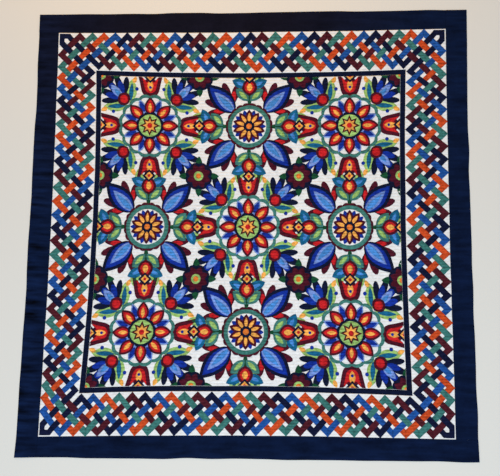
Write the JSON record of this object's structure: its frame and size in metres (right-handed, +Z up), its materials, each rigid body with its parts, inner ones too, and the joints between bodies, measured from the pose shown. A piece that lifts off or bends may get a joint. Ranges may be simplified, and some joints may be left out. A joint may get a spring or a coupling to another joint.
{
  "type": "ralli quilt",
  "caption": "Quilted patchwork bed cover laid flat: applique field, narrow navy frame, interlaced plait border and a plain navy outer border with turned edges.",
  "frame": {"origin": "middle of the flat underside", "axes": "+Z up out of the quilt's face, +Y towards the quilt's top edge along its longer side, +X to its right"},
  "size_m": [2.2436, 2.3147, 0.0055],
  "materials": {
    "field": "matt cotton, applied motifs in many colours",
    "frame": "matt navy cotton",
    "plait": "matt cotton, applied ribbons in five colours",
    "border": "matt dark navy cotton, softly puckered"
  },
  "bodies": {
    "root": {"field": "field", "frame_top": "frame", "frame_right": "frame", "frame_bottom": "frame", "frame_left": "frame", "plait_top": "plait", "plait_right": "plait", "plait_bottom": "plait", "plait_left": "plait", "border_top": "border", "border_right": "border", "border_bottom": "border", "border_left": "border"}
  },
  "joints": []
}
